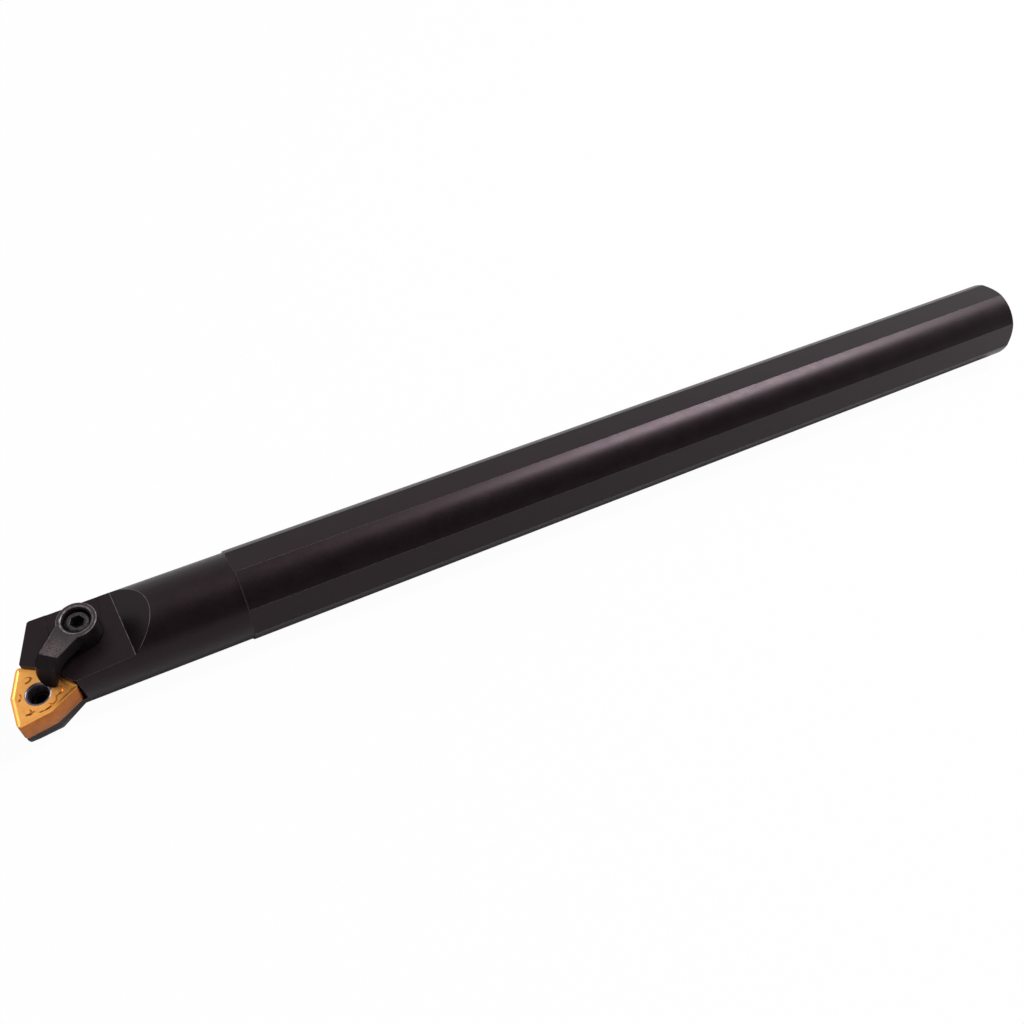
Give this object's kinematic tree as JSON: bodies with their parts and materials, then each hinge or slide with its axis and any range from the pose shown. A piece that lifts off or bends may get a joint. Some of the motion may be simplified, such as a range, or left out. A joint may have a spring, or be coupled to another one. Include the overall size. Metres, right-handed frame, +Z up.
{
  "type": "boring bar",
  "caption": "Right-hand steel boring bar: round shank with four flats, turned neck, and a head that clamps a gold-coated trigon insert under a screwed top clamp.",
  "frame": {"origin": "middle of the rear end face", "axes": "+X out of the rear face along the shank, +Z up, cutting tip towards -X and -Y"},
  "size_m": [0.254, 0.022, 0.0201],
  "materials": {
    "blackened_steel": "black oxide on turned and milled steel, satin",
    "coated_carbide": "gold coating on pressed and ground carbide",
    "clamp_steel": "black oxide on forged steel, fine speckle",
    "screw_steel": "black oxide on machined steel"
  },
  "bodies": {
    "bar": {"bar_body": "blackened_steel", "insert": "coated_carbide", "lock_pin": "screw_steel"},
    "clamp": {"clamp": "clamp_steel"},
    "clamp_screw": {"clamp_screw": "screw_steel"}
  },
  "joints": [
    {"name": "clamp_lift", "type": "slide", "parent": "bar", "child": "clamp", "axis": [-0.0523, -0.2753, 0.9599], "range_m": [0, 0.0024]},
    {"name": "screw_turn", "type": "hinge", "parent": "clamp", "child": "clamp_screw", "pos_m": [-0.23833, -0.00128, 0.00908], "axis": [-0.0523, -0.2753, 0.9599], "range_deg": [0, 540]}
  ],
  "couplings": [
    {"joint": "screw_turn", "follows": "clamp_lift", "rad_per_m": 3927}
  ]
}
